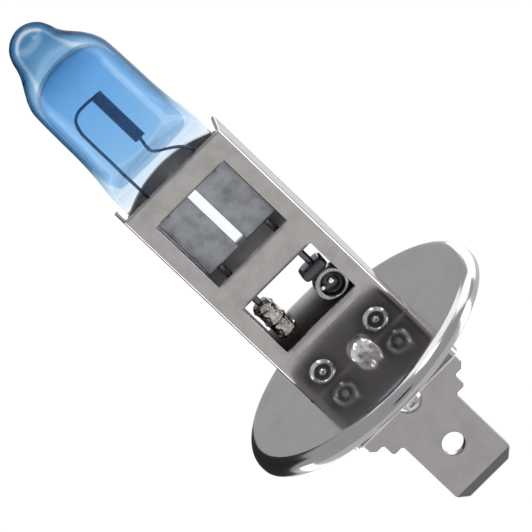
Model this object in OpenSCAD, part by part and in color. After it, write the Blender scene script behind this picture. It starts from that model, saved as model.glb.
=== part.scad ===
// Single-filament halogen headlight bulb with a flat blade terminal.
// Origin: centre of the flange's front face. +Z runs up the bulb to its tip,
// X is across the flat of the clamp and the blade, -Y is the clamp's front.

/* [Glass bulb] */
// Outer radius of the tube at the dome
tube_r = 4.35; // [3.9:0.05:4.7]
// Outer radius of the tube where it meets the pinch
tube_foot_r = 4.6; // [4.2:0.05:4.9]
// Wall of the quartz tube
glass_wall = 0.9; // [0.6:0.05:1.2]
// Height of the tube above the pinch, up to the dome
tube_h = 8.5; // [7:0.1:14]
// Height of the dome
dome_h = 3; // [2:0.1:4]
// Height of the sealed exhaust tip above the dome
tip_h = 3.5; // [3:0.1:6]
// Radius of the exhaust tip
tip_r = 2.25; // [1.4:0.05:2.6]

/* [Pinch seal] */
// Thickness of the flat pinch
pinch_t = 2.6; // [2:0.1:3.4]
// Side clearance between the pinch and the clamp
pinch_gap = 0.4; // [0.1:0.05:0.8]
// Bottom of the pinch above the flange
pinch_z = 12.4; // [11:0.1:13]
// Height of the shoulder that blends the flat pinch into the round tube
shoulder_h = 1.6; // [1.5:0.1:4]
// How far the flat part of the pinch rises above the clamp
pinch_over = 1.2; // [0.3:0.1:2]
// Width of each molybdenum foil
foil_w = 3.4; // [2:0.1:3.6]
// Gap between the two foils
foil_gap = 0.9; // [0.5:0.05:1.4]
// Thickness of each foil
foil_t = 0.12; // [0.06:0.02:0.3]
// Length of each foil
foil_l = 7.6; // [5:0.1:8.2]

/* [Filament and leads] */
// Outer diameter of the coiled filament
filament_d = 1.1; // [0.8:0.05:1.6]
// Length of the coil
filament_l = 5.6; // [4:0.1:7]
// Centre of the coil above the flange
filament_z = 29.5; // [28:0.1:31]
// Diameter of the inner lead wires
inner_wire_d = 0.4; // [0.25:0.05:0.5]
// Diameter of the outer lead wires
outer_wire_d = 0.6; // [0.4:0.05:0.8]
// Distance from the axis to each lead
lead_x = 2.7; // [2:0.05:3.2]

/* [Clamp] */
// Width of the clamp
clamp_w = 11.1; // [9.6:0.1:13]
// Height of the clamp above the flange
clamp_h = 23.1; // [22:0.1:24]
// Sheet thickness of the clamp
clamp_sheet = 0.35; // [0.25:0.05:0.5]
// Width of both windows
window_w = 7.9; // [6:0.1:8.4]
// Lower edge of the upper window
upper_window_z = 13.2; // [13:0.1:15]
// Height of the upper window
upper_window_h = 7.6; // [5:0.1:8.4]
// Lower edge of the lower window
lower_window_z = 4.8; // [4:0.05:6]
// Height of the lower window
lower_window_h = 5.5; // [4:0.1:6]
// How much higher the rear plate's upper window starts
rear_sill_up = 0.7; // [0:0.1:1.5]
// How much higher the rear plate's lower window starts
rear_sill_low = 1.4; // [0:0.1:2]
// Rise of the rear plate's arched top edge
arch_rise = 1.6; // [0.6:0.1:2.2]

/* [Flange] */
// Outer diameter of the flange
flange_d = 25; // [21:0.5:30]
// Sheet thickness of the flange
flange_sheet = 0.5; // [0.3:0.05:0.8]
// Height of the turned-down rim
rim_h = 1.5; // [1.1:0.05:2.5]
// Radius of the rim's rounded shoulder
rim_round = 1; // [0.5:0.05:1.2]

/* [Base and terminal] */
// Length of the ceramic insulator behind the flange
insulator_l = 5.5; // [5:0.1:8]
// Depth of the insulator, front to back
insulator_t = 3.6; // [3.2:0.1:4.6]
// Sheet thickness of the steel collar round the insulator
collar_sheet = 0.4; // [0.3:0.05:0.6]
// Length of the collar
collar_l = 5.2; // [2.5:0.1:5.4]
// Width of the terminal blade
blade_w = 6.3; // [4.8:0.1:7.8]
// Thickness of the terminal blade
blade_t = 0.8; // [0.5:0.05:1]
// Distance from the flange face to the end of the blade
blade_end = 16.6; // [15:0.1:22]
// Diameter of the latch hole in the blade
blade_hole_d = 2; // [1.2:0.1:2.6]
// Distance from the blade's end to the hole
blade_hole_in = 4.6; // [3:0.1:6]

/* [Hidden] */
$fn = 64;

e = 0.01;                       // overrun of cutting tools
clamp_t = pinch_t + 2 * clamp_sheet;
pinch_w = clamp_w - 2 * clamp_sheet - 2 * pinch_gap;
pinch_top = clamp_h + pinch_over;   // flat part of the pinch ends here
tube_z = pinch_top + shoulder_h;
dome_z = tube_z + tube_h;
tip_z = dome_z + dome_h;
foil_z = upper_window_z + 0.7;
foil_x = foil_gap / 2 + foil_w / 2;
wire_r = inner_wire_d / 2;
outer_r = outer_wire_d / 2;
elbow_r = wire_r * 1.04;        // rounded bends of the inner leads
filament_top = filament_z + filament_l / 2;
filament_foot = filament_z - filament_l / 2;
wire_end = foil_z + foil_l - 1.2;   // inner leads reach this far down the foils
outer_top = foil_z + 1.4;           // outer leads reach this far up the foils
lead_bend_z = tube_z + 0.4;         // short lead turns up to the coil here
flange_r = flange_d / 2;
eyelet_ro = 1.55;
eyelet_ri = 1.0;
eyelet_t = 1.4;
eyelet_z = lower_window_z + eyelet_ro - 0.45;
bead_h = 1.1;
bead_z = eyelet_z + eyelet_ro;
sleeve_r = 0.95;
sleeve_l = 3.9;
sleeve_z = lower_window_z + 0.45;
insulator_w = clamp_w + 0.1;
insulator_z = -flange_sheet - insulator_l;
slot_depth = insulator_l - 1.8;     // how deep the blade's root sits
root_w = insulator_w - 0.4;         // widest step of the blade
root_end = insulator_z - 1.7;
step_w = blade_w + 2.1;
step_end = root_end - 1.3;
rivet_r = 1.2;
lead_in_l = 0.9;                    // bevel at the blade's end
lead_in_a = 12;
rivet_z = insulator_z - 0.35;
tab_w = 2.6;
tab_h = 1.5;
tab_x = 0.5;
weld_x = 3.1;
weld_z = 1.42;
weld_r = 0.95;
clamp_foot = -flange_sheet;         // clamp stands through the flange on the insulator

// A quarter of an ellipse from (r0 + a, z0) up to (r0, z0 + b), n steps
function quarter(r0, z0, a, b, n) =
    [for (i = [0:n]) [r0 + a * cos(90 * i / n), z0 + b * sin(90 * i / n)]];
// A smooth S from (ra, za) to (rb, zb)
function ess(ra, za, rb, zb, n) =
    [for (i = [1:n]) let(s = (1 - cos(180 * i / n)) / 2) [ra + (rb - ra) * s, za + (zb - za) * i / n]];

// Straight round wire between two points
module wire(a, b, r) {
    d = b - a;
    l = norm(d);
    translate(a) rotate([0, acos(d[2] / l), atan2(d[1], d[0])]) cylinder(r = r, h = l, $fn = 24);
}
// Rounded box standing on z = 0
module pillar(w, t, h, r) {
    linear_extrude(h) {
        square([w - 2 * r, t], center = true);
        square([w, t - 2 * r], center = true);
        for (x = [-1, 1], y = [-1, 1]) translate([x * (w / 2 - r), y * (t / 2 - r)]) circle(r);
    }
}

module quartz_envelope() {
    neck_r = tip_r + 0.55;
    neck_z = tip_z - 0.2;
    color([0.35, 0.62, 0.85, 0.5]) rotate_extrude() polygon(concat(
        [[tube_foot_r - glass_wall, tube_z], [tube_foot_r, tube_z]],
        quarter(neck_r, dome_z, tube_r - neck_r, dome_h - 0.2, 8),
        ess(neck_r, neck_z, tip_r, tip_z + tip_h - tip_r, 6),
        [for (p = quarter(0, tip_z + tip_h - tip_r, tip_r, tip_r, 8)) if (p[0] < tip_r - e) [max(p[0], 0), p[1]]],
        [for (i = [8:-1:0]) quarter(0, dome_z - 0.3, tube_r - glass_wall, dome_h - 0.5, 8)[i]]));
}

module pinch_seal() {
    color([0.75, 0.85, 0.92, 0.5]) difference() {
        union() {
            translate([0, 0, pinch_z]) pillar(pinch_w, pinch_t, pinch_top - pinch_z, 0.4);
            hull() {
                translate([0, 0, pinch_top - 0.05]) pillar(pinch_w, pinch_t, 0.05, 0.4, $fn = 24);
                translate([0, 0, tube_z - 0.05]) cylinder(r = tube_foot_r, h = 0.05, $fn = 48);
            }
        }
        foil(-1);
        foil(1);
        for (s = [-1, 1]) {
            wire([s * lead_x, 0, wire_end], [s * lead_x, 0, tube_z + 1], wire_r);
            wire([s * lead_x, 0, pinch_z - 1], [s * lead_x, 0, outer_top], outer_r);
        }
        wire([lead_x, 0, tube_z - 1.6], [0, 0, lead_bend_z], wire_r);
    }
}

module foil(s) {
    color([0.5, 0.5, 0.53]) difference() {
        translate([s * foil_x - foil_w / 2, -foil_t / 2, foil_z]) cube([foil_w, foil_t, foil_l]);
        wire([s * lead_x, 0, wire_end], [s * lead_x, 0, tube_z], wire_r);
        wire([s * lead_x, 0, pinch_z], [s * lead_x, 0, outer_top], outer_r);
    }
}

module filament() {
    color([0.25, 0.25, 0.28]) translate([0, 0, filament_foot]) difference() {
        cylinder(d = filament_d, h = filament_l);
        translate([0, 0, -e]) cylinder(d = filament_d * 0.55, h = filament_l + 2 * e);
    }
}

// Long lead: up beside the coil and over to its top end
module long_lead() {
    top = filament_top + wire_r + 0.05;
    color([0.4, 0.42, 0.48]) {
        wire([-lead_x, 0, wire_end], [-lead_x, 0, top - 0.6], wire_r);
        translate([-lead_x, 0, top - 0.6]) sphere(elbow_r, $fn = 24);
        wire([-lead_x, 0, top - 0.6], [-lead_x + 0.6, 0, top], wire_r);
        translate([-lead_x + 0.6, 0, top]) sphere(elbow_r, $fn = 24);
        wire([-lead_x + 0.6, 0, top], [filament_d / 4, 0, top], wire_r);
    }
}

// Short lead: from the pinch sideways to the coil's lower end
module short_lead() {
    color([0.4, 0.42, 0.48]) {
        wire([lead_x, 0, wire_end], [lead_x, 0, tube_z - 1.6], wire_r);
        translate([lead_x, 0, tube_z - 1.6]) sphere(elbow_r, $fn = 24);
        wire([lead_x, 0, tube_z - 1.6], [0, 0, lead_bend_z], wire_r);
        translate([0, 0, lead_bend_z]) sphere(elbow_r, $fn = 24);
        wire([0, 0, lead_bend_z], [0, 0, filament_foot - 0.02], wire_r);
    }
}

module outer_lead_ground() {
    color([0.6, 0.6, 0.6]) wire([-lead_x, 0, sleeve_z + 0.6], [-lead_x, 0, outer_top], outer_r);
}

module outer_lead_live() {
    color([0.45, 0.45, 0.45]) wire([lead_x, 0, bead_z], [lead_x, 0, outer_top], outer_r);
}

// Crimped sleeve that grips the ground lead and is welded to the clamp
module ground_sleeve() {
    color([0.6, 0.57, 0.53]) difference() {
        translate([-lead_x, 0, sleeve_z]) {
            cylinder(r = sleeve_r, h = sleeve_l);
            for (z = [0.5, 1.9, 3.2]) translate([0, 0, z]) cylinder(r = sleeve_r + 0.12, h = 0.35);
            translate([-0.5, 0, 0.9]) cube([1, clamp_t / 2 - clamp_sheet, 1.6]);
        }
        wire([-lead_x, 0, sleeve_z + 0.6], [-lead_x, 0, sleeve_z + sleeve_l + 1], outer_r);
    }
}

module feed_bead() {
    color([0.12, 0.12, 0.13]) difference() {
        translate([lead_x, 0, bead_z + 0.02]) pillar(2, 2, bead_h, 0.3);
        wire([lead_x, 0, bead_z - 1], [lead_x, 0, bead_z + bead_h + 1], outer_r);
    }
}

module feed_eyelet() {
    color([0.5, 0.5, 0.5]) translate([lead_x, 0, eyelet_z]) rotate([90, 0, 0]) difference() {
        cylinder(r = eyelet_ro, h = eyelet_t, center = true);
        cylinder(r = eyelet_ri, h = eyelet_t + 1, center = true);
    }
}

module eyelet_plug() {
    color([0.08, 0.08, 0.09]) translate([lead_x, 0, eyelet_z]) rotate([90, 0, 0])
        cylinder(r = eyelet_ri, h = eyelet_t - 0.3, center = true);
}

// The two windows of a clamp plate as one cutting tool, their lower edges raised by up and low
module window_cuts(up, low) {
    for (w = [[upper_window_z + up, upper_window_h - up], [lower_window_z + low, lower_window_h - low]])
        translate([-window_w / 2, -clamp_t, w[0]]) cube([window_w, 2 * clamp_t, w[1]]);
}

module clamp_front() {
    color([0.62, 0.6, 0.58]) difference() {
        translate([0, 0, clamp_foot]) pillar(clamp_w, clamp_t, clamp_h - clamp_foot, 0.3);
        translate([0, 0, clamp_foot - e])
            translate([-clamp_w / 2 + clamp_sheet, -clamp_t / 2 + clamp_sheet, 0])
                cube([clamp_w - 2 * clamp_sheet, clamp_t, clamp_h - clamp_foot + 2 * e]);
        translate([-window_w / 2, -clamp_t, upper_window_z]) cube([window_w, clamp_t, upper_window_h]);
        translate([-window_w / 2, -clamp_t, lower_window_z]) cube([window_w, clamp_t, lower_window_h]);
        for (s = [-1, 1]) translate([s * weld_x, 0, weld_z]) rotate([90, 0, 0]) cylinder(r = weld_r, h = clamp_t);
    }
}

module clamp_rear() {
    w = clamp_w - 2 * clamp_sheet;
    arch_r = (w * w / 4 + arch_rise * arch_rise) / (2 * arch_rise);
    color([0.58, 0.56, 0.54]) difference() {
        translate([-w / 2, clamp_t / 2 - clamp_sheet, clamp_foot])
            cube([w, clamp_sheet, clamp_h + 0.4 - clamp_foot]);
        window_cuts(rear_sill_up, rear_sill_low);
        difference() {
            translate([-w, -clamp_t, clamp_h + 0.4 - arch_rise]) cube([2 * w, 4 * clamp_t, 2 * arch_rise]);
            translate([0, 0, clamp_h + 0.4 - arch_r]) rotate([90, 0, 0])
                cylinder(r = arch_r, h = 10 * clamp_t, center = true, $fn = 180);
        }
        for (s = [-1, 1]) translate([s * weld_x, clamp_t, weld_z]) rotate([90, 0, 0]) cylinder(r = weld_r, h = clamp_t);
    }
}

// Pressed weld nuggets low on both faces of the clamp
module weld_spots() {
    color([0.55, 0.55, 0.55]) for (s = [-1, 1], f = [-1, 1])
        translate([s * weld_x, f * (clamp_t / 2 - clamp_sheet / 2), weld_z]) rotate([90, 0, 0]) difference() {
            cylinder(r = weld_r, h = clamp_sheet, center = true);
            translate([0, 0, -f * (clamp_sheet / 2 + 0.62)]) sphere(0.8, $fn = 32);
        }
}

// Weld beads where the rear plate meets the front plate's side flanges
module side_welds() {
    w = clamp_w / 2 - clamp_sheet;
    color([0.5, 0.48, 0.45]) for (s = [-1, 1], z = [3.6, 12, 21.4])
        translate([s * (w + clamp_sheet / 2 - 0.1), clamp_t / 2, z]) intersection() {
            sphere(0.45, $fn = 32);
            translate([-1, 0, -1]) cube([2, 1, 2]);
        }
}

// Upright tabs turned up out of the flange's slot, against the middle of each clamp face
module tab_prism(f, h) {
    translate([tab_x, f * clamp_t / 2, 0]) difference() {
        intersection() {
            cylinder(r = tab_w / 2, h = h);
            translate([-tab_w, f > 0 ? 0 : -tab_w, 0]) cube([2 * tab_w, tab_w, h]);
        }
        translate([0, f * (tab_w / 2 + 0.6), -e]) cylinder(r = 1.1, h = h + 1);
    }
}
module base_tabs() {
    color([0.66, 0.64, 0.62]) for (f = [-1, 1]) translate([0, 0, -flange_sheet]) tab_prism(f, tab_h + flange_sheet);
}

module flange() {
    r = flange_r;
    c = rim_round;
    t = flange_sheet;
    color([0.68, 0.66, 0.65]) difference() {
        rotate_extrude($fn = 128) polygon(concat(
            [[0, -t], [0, 0]],
            [for (i = [0:8]) let(a = 90 * i / 8) [r - c + c * sin(a), -c + c * cos(a)]],
            [[r, -rim_h], [r - t, -rim_h]],
            [for (i = [8:-1:0]) let(a = 90 * i / 8, k = c - t / 2) [r - c + (k - t / 2 + 0.1) * sin(a), -c + (k - t / 2) * cos(a)]]));
        translate([0, 0, -2]) pillar(clamp_w, clamp_t, 4, 0.3);
        for (f = [-1, 1]) translate([0, 0, -2]) tab_prism(f, 4);
    }
}

module collar() {
    color([0.64, 0.62, 0.6]) translate([0, 0, -flange_sheet - collar_l]) difference() {
        pillar(insulator_w + 2 * collar_sheet, insulator_t + 2 * collar_sheet, collar_l, 0.8);
        translate([0, 0, -e]) pillar(insulator_w, insulator_t, collar_l + 2 * e, 0.4);
    }
}

module insulator() {
    color([0.82, 0.8, 0.76]) difference() {
        translate([0, 0, insulator_z]) pillar(insulator_w, insulator_t, insulator_l, 0.4);
        translate([-insulator_w, -blade_t / 2, insulator_z - e]) cube([2 * insulator_w, blade_t, slot_depth]);
        translate([lead_x - 0.8, -blade_t / 2, insulator_z]) cube([1.6, blade_t, insulator_l + 1]);
        for (f = [-1, 1]) translate([0, f * (blade_t / 2 + insulator_t / 2), rivet_z]) rotate([90, 0, 0])
            cylinder(r = rivet_r + 0.05, h = insulator_t, center = true);
    }
}

// Thin sheet between the flange and the blade's root, behind the rear plate
module insulating_washer() {
    color([0.7, 0.62, 0.45]) translate([0, 0, -flange_sheet]) difference() {
        translate([0, 0, 0.02]) pillar(clamp_w - 2 * clamp_sheet - 0.1, clamp_t - 2 * clamp_sheet - 0.1, 0.4, 0.3);
        translate([lead_x - 0.8, -blade_t / 2, -1]) cube([1.6, blade_t, 3]);
    }
}

// Nickel strap from the eyelet down to the blade's root
module link_strap() {
    top = eyelet_z - eyelet_ro;
    foot = insulator_z + slot_depth;
    color([0.6, 0.6, 0.58]) translate([lead_x - 0.5, -0.15, foot]) cube([1, 0.3, top - foot]);
}

module terminal_blade() {
    c = 0.9;
    top = insulator_z + slot_depth - 0.02;
    color([0.66, 0.64, 0.63]) difference() {
        translate([0, blade_t / 2, 0]) rotate([90, 0, 0]) linear_extrude(blade_t) {
            translate([-insulator_w / 2 + 0.4, insulator_z]) square([insulator_w - 0.8, top - insulator_z]);
            polygon([[-root_w / 2, insulator_z], [-root_w / 2, root_end + 0.5], [-root_w / 2 + 0.5, root_end],
                [root_w / 2 - 0.5, root_end], [root_w / 2, root_end + 0.5], [root_w / 2, insulator_z]]);
            translate([-step_w / 2, step_end]) square([step_w, root_end - step_end + e]);
            polygon([[-blade_w / 2, step_end + e], [-blade_w / 2, -blade_end + c], [-blade_w / 2 + c, -blade_end],
                [blade_w / 2 - c, -blade_end], [blade_w / 2, -blade_end + c], [blade_w / 2, step_end + e]]);
        }
        translate([0, 0, -blade_end + blade_hole_in]) rotate([90, 0, 0])
            cylinder(d = blade_hole_d, h = 4, center = true);
        for (f = [-1, 1]) translate([0, f * blade_t / 2, -blade_end + lead_in_l]) rotate([-f * lead_in_a, 0, 0])
            translate([-blade_w, f > 0 ? 0 : -2, -2]) cube([2 * blade_w, 2, 2]);
        translate([0, 0, rivet_z]) rotate([90, 0, 0]) cylinder(r = 0.6, h = 4, center = true);
    }
}

module terminal_rivet() {
    color([0.75, 0.75, 0.75]) translate([0, 0, rivet_z]) rotate([90, 0, 0]) {
        cylinder(r = 0.6, h = blade_t, center = true);
        for (f = [-1, 1]) translate([0, 0, f * blade_t / 2]) intersection() {
            translate([0, 0, -f * 0.9]) sphere(1.5, $fn = 48);
            translate([0, 0, f > 0 ? 0 : -1]) cylinder(r = 2, h = 1);
        }
    }
}

quartz_envelope();
pinch_seal();
filament();
long_lead();
short_lead();
foil(-1);  // foil_left
foil(1);  // foil_right
outer_lead_ground();
outer_lead_live();
ground_sleeve();
feed_bead();
feed_eyelet();
eyelet_plug();
clamp_front();
clamp_rear();
weld_spots();
side_welds();
flange();
base_tabs();
collar();
insulator();
insulating_washer();
link_strap();
terminal_blade();
terminal_rivet();
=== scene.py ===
import bpy
import bmesh
import numpy as np
from mathutils import Matrix, Vector
from mathutils.geometry import tessellate_polygon


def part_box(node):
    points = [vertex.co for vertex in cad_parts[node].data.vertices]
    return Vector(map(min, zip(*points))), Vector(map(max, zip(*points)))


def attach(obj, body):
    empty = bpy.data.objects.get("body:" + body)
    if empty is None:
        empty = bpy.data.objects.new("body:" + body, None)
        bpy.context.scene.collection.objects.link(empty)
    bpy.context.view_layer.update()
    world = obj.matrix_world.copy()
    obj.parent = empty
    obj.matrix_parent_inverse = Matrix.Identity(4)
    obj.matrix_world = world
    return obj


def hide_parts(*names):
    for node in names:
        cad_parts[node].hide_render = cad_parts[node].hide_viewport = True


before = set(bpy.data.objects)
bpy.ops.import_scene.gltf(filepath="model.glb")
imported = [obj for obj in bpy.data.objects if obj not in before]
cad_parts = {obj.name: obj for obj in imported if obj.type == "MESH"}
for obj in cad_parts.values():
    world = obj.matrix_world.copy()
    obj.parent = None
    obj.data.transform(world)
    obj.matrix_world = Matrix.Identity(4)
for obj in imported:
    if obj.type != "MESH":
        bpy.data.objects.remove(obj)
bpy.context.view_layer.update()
mm = 0.001

# ---------------------------------------------------------------- studio
# A white floor well below the bulb, an even white room round it, soft lights
# above, right and left, and dark cards that shade the metal's reflections.
bpy.context.scene.view_settings.view_transform = "Standard"


def placed(name, data):
    """A new object of the scene that holds the data."""
    thing = bpy.data.objects.new(name, data)
    bpy.context.scene.collection.objects.link(thing)
    return thing


def looking_from(tilt_deg, swing_deg, axis_right, axis_up, aim, distance, field):
    """Sets a long-lens camera. Its back vector is (sin s cos t, -cos s cos t, sin t) for tilt t and swing s,
    and it is rolled until the bulb's own axis runs along (axis_right, axis_up) in the frame."""
    t, s = np.radians(tilt_deg), np.radians(swing_deg)
    back = np.array([np.sin(s) * np.cos(t), -np.cos(s) * np.cos(t), np.sin(t)])
    along = np.array([-np.sin(s) * np.sin(t), np.cos(s) * np.sin(t), np.cos(t)])
    across = np.cross(along, back)
    right = axis_right * along + axis_up * across
    up = axis_up * along - axis_right * across
    place = np.array(aim) + back * distance
    data = bpy.data.cameras.new("camera")
    data.sensor_width = 36
    data.lens = 36 * distance / field
    data.clip_end = 30
    camera = placed("camera", data)
    columns = np.column_stack([right, up, back, place])
    camera.matrix_world = Matrix([list(row) for row in columns] + [[0, 0, 0, 1]])
    bpy.context.scene.camera = camera


looking_from(21.3, 4.5, -0.7245, 0.6893, (-0.0001, 0, 0.0110), 0.75, 0.04397)

world = bpy.data.worlds.new("white_room")
bpy.context.scene.world = world
world.use_nodes = True
room = world.node_tree.nodes["Background"]
room.inputs["Color"].default_value = (0.93, 0.95, 1.0, 1)
room.inputs["Strength"].default_value = 0.72


def fresh_material(name, sockets):
    """A new material whose shader has the sockets named in the table set to its values."""
    made = bpy.data.materials.new(name)
    made.use_nodes = True
    shader = made.node_tree.nodes["Principled BSDF"]
    for label, value in sockets.items():
        shader.inputs[label].default_value = value
    return made


def flat_card(name, centre, across, upward, colour, glow):
    """A stage card: the four points centre +- across +- upward, in one matt material."""
    c, a, u = (np.array(v, float) for v in (centre, across, upward))
    mesh = bpy.data.meshes.new(name)
    mesh.from_pydata([list(c - a - u), list(c + a - u), list(c + a + u), list(c - a + u)], [], [(0, 1, 2, 3)])
    card = placed(name, mesh)
    mesh.materials.append(fresh_material(name, {"Base Color": (*colour, 1), "Roughness": 0.9,
                                                "Emission Color": (1, 1, 1, 1), "Emission Strength": glow}))
    return card


flat_card("floor", (0, 0, -1.2), (9, 0, 0), (0, 9, 0), (0.9, 0.9, 0.9), glow=0.42)


def dark_card(name, toward, distance, half_across, half_up, shade=0.012):
    """A dark card at a distance in the direction toward, square to it, seen only in reflections."""
    d = np.array(toward, float) / np.linalg.norm(toward)
    across = np.cross(d, (0, 0, 1))
    across /= np.linalg.norm(across)
    upward = np.cross(across, d)
    card = flat_card(name, d * distance, across * half_across, upward * half_up, (shade, shade, shade), glow=0)
    card.visible_camera = card.visible_diffuse = card.visible_shadow = card.visible_transmission = False


dark_card("dark_left", (-0.66, 0.72, 0.14), 0.28, 0.15, 0.19)
dark_card("dark_front", (0.07, -0.93, 0.36), 1.0, 0.15, 0.12)
dark_card("dark_below", (-0.07, -0.68, -0.74), 0.36, 0.12, 0.08, shade=0.25)


def soft_light(name, toward, distance, width, height, glow):
    """An area light in the direction toward, facing the bulb. Its power is glow times pi times its area, so
    that glow is the radiance seen in a reflection."""
    data = bpy.data.lights.new(name, "AREA")
    data.shape = "RECTANGLE"
    data.size = width
    data.size_y = height
    data.energy = glow * np.pi * width * height
    light = placed(name, data)
    place = Vector(toward).normalized() * distance
    light.location = place
    light.rotation_euler = (-place).to_track_quat("-Z", "Y").to_euler()
    light.visible_camera = light.visible_transmission = False


for lamp, toward, distance, width, height, glow in (
        ("overhead", (0.3, 0.3, 0.9), 0.5, 0.42, 0.42, 1.6),
        ("glint", (0.42, -0.3, 0.85), 0.4, 0.11, 0.11, 9.0),
        ("right_low", (0.93, -0.05, -0.34), 0.35, 0.12, 0.32, 4.6),
        ("right_behind", (0.56, 0.80, 0.08), 0.4, 0.36, 0.24, 2.2),
        ("right_high", (0.78, 0.34, 0.42), 0.45, 0.3, 0.26, 2.0),
        ("left_strip", (-0.93, 0.04, -0.36), 0.35, 0.08, 0.35, 4.6)):
    soft_light(lamp, toward, distance, width, height, glow)

# ---------------------------------------------------------------- flange
# The round seat of the bulb: a disc of plated steel, blanked with a slot for
# the clamp and drawn once so that its rim turns down over a rounded shoulder.


def smooth_skin(name, points, quads, outward=True):
    """A smooth object of points and quads. Doubled points are merged and, if asked, faces turned outwards."""
    mesh = bpy.data.meshes.new(name)
    mesh.from_pydata(points.reshape(-1, 3).tolist(), [], quads.tolist())
    work = bmesh.new()
    work.from_mesh(mesh)
    bmesh.ops.remove_doubles(work, verts=work.verts, dist=1e-7)
    if outward:
        bmesh.ops.recalc_face_normals(work, faces=work.faces)
    for face in work.faces:
        face.smooth = True
    work.to_mesh(mesh)
    work.free()
    return placed(name, mesh)


def quad_cells(index):
    """The quads between neighbouring rows and columns of a grid of point numbers."""
    return np.stack([index[:-1, :-1], index[:-1, 1:], index[1:, 1:], index[1:, :-1]], -1)


def grid_mesh(name, points, close_rows=False):
    """Skins a grid of points of shape (rows, columns, 3) with quads. Its last column joins the first, its last
    row does where asked, and doubled points at the poles are merged."""
    rows, columns = points.shape[:2]
    index = np.arange(rows * columns).reshape(rows, columns)
    if close_rows:
        index = np.vstack([index, index[:1]])
    index = np.hstack([index, index[:, :1]])
    return smooth_skin(name, points, quad_cells(index).reshape(-1, 4))


def rounded_slot(half_x, half_y, radius, angles):
    """The point of a rounded rectangle in each direction: max-norm distance to the straight sides, pulled in
    by the corner circle where the ray meets a corner."""
    c, s = np.cos(angles), np.sin(angles)
    reach = np.minimum(half_x / np.maximum(np.abs(c), 1e-9), half_y / np.maximum(np.abs(s), 1e-9))
    cx, cy = half_x - radius, half_y - radius
    b = np.abs(c) * cx + np.abs(s) * cy
    disc = np.maximum(b * b - (cx * cx + cy * cy - radius * radius), 0)
    corner = b + np.sqrt(disc)
    in_corner = (np.abs(c) * reach > cx) & (np.abs(s) * reach > cy)
    reach = np.where(in_corner, corner, reach)
    return np.stack([reach * c, reach * s], -1)


def new_group(name, inputs, outputs):
    """An empty shader node group with the named sockets: (name, kind, value) in, (name, kind) out."""
    group = bpy.data.node_groups.new(name, "ShaderNodeTree")
    for label, kind, value in inputs:
        socket = group.interface.new_socket(label, in_out="INPUT", socket_type=kind)
        socket.default_value = value
    for label, kind in outputs:
        group.interface.new_socket(label, in_out="OUTPUT", socket_type=kind)
    return group, group.nodes.new("NodeGroupInput"), group.nodes.new("NodeGroupOutput")


def put(tree, kind, inputs, **settings):
    """Adds a node to a tree. Settings are its own switches, and each input gets a number or the output that
    feeds it."""
    node = tree.nodes.new(kind)
    for label, value in settings.items():
        setattr(node, label, value)
    for socket, value in inputs.items():
        if isinstance(value, bpy.types.NodeSocket):
            tree.links.new(value, node.inputs[socket])
        else:
            node.inputs[socket].default_value = value
    return node


def object_space(tree):
    """The place of each point in the object's own frame."""
    return put(tree, "ShaderNodeTexCoord", {}).outputs["Object"]


def calc(tree, operation, *terms):
    """One sum on grey values, such as MULTIPLY, SUBTRACT or MULTIPLY_ADD."""
    return put(tree, "ShaderNodeMath", dict(enumerate(terms)), operation=operation).outputs[0]


def noise(tree, vector, scale, detail=2, roughness=0.5):
    """The grey value of a noise pattern."""
    inputs = {"Vector": vector, "Scale": scale, "Detail": detail, "Roughness": roughness}
    return put(tree, "ShaderNodeTexNoise", inputs).outputs["Fac"]


def ranged(tree, value, low, high, to_low=0, to_high=1, curve="SMOOTHSTEP"):
    """Carries the span low to high of a value to the span to_low to to_high, along a smooth step or a line."""
    inputs = {"Value": value, "From Min": low, "From Max": high, "To Min": to_low, "To Max": to_high}
    return put(tree, "ShaderNodeMapRange", inputs, interpolation_type=curve).outputs["Result"]


def mixed(tree, factor, a, b, blend="MIX"):
    """Colour a, pulled towards colour b or multiplied by it, as far as factor says."""
    inputs = {"Factor": factor, "A": a, "B": b}
    return put(tree, "ShaderNodeMix", inputs, data_type="RGBA", blend_type=blend).outputs["Result"]


def make_sheet_finish():
    """Cold-rolled sheet. Colour: the base pulled towards a stain by soft clouds and dark specks. Roughness: a
    middle value spread by the grain and raised by the clouds. Height: fine grain, stretched along one
    direction, over slow waves."""
    F, C, V = "NodeSocketFloat", "NodeSocketColor", "NodeSocketVector"
    group, given, out = new_group(
        "sheet_finish",
        [("Base", C, (0.5, 0.5, 0.5, 1)), ("Stain", C, (0.3, 0.3, 0.3, 1)), ("Stain Amount", F, 0.4),
         ("Cloud Scale", F, 300), ("Grain Stretch", V, (1, 1, 0.1)), ("Grain Scale", F, 6000),
         ("Rough", F, 0.2), ("Rough Spread", F, 0.1), ("Wave", F, 0.5)],
        [("Colour", C), ("Roughness", F), ("Height", F)])
    given = given.outputs
    where = object_space(group)
    cloud = noise(group, where, given["Cloud Scale"], 6, 0.65)
    amount = calc(group, "MULTIPLY", ranged(group, cloud, 0.38, 0.72), given["Stain Amount"])
    clouded = mixed(group, amount, given["Base"], given["Stain"])
    pits = ranged(group, noise(group, where, 2600, 3), 0.66, 0.78, to_high=0.35, curve="LINEAR")
    colour = mixed(group, pits, clouded, given["Stain"])
    along = put(group, "ShaderNodeVectorMath", {0: where, 1: given["Grain Stretch"]}, operation="MULTIPLY")
    grain = noise(group, along.outputs[0], given["Grain Scale"], 4)
    centred = calc(group, "SUBTRACT", grain, 0.5)
    spread = calc(group, "MULTIPLY_ADD", centred, given["Rough Spread"], given["Rough"])
    rough = calc(group, "MULTIPLY_ADD", amount, 0.08, spread)
    fine = calc(group, "MULTIPLY", grain, 0.06)
    tall = calc(group, "MULTIPLY_ADD", noise(group, where, 160, 1), given["Wave"], fine)
    for label, source in (("Colour", colour), ("Roughness", rough), ("Height", tall)):
        group.links.new(source, out.inputs[label])
    return group


sheet_finish = make_sheet_finish()


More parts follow.
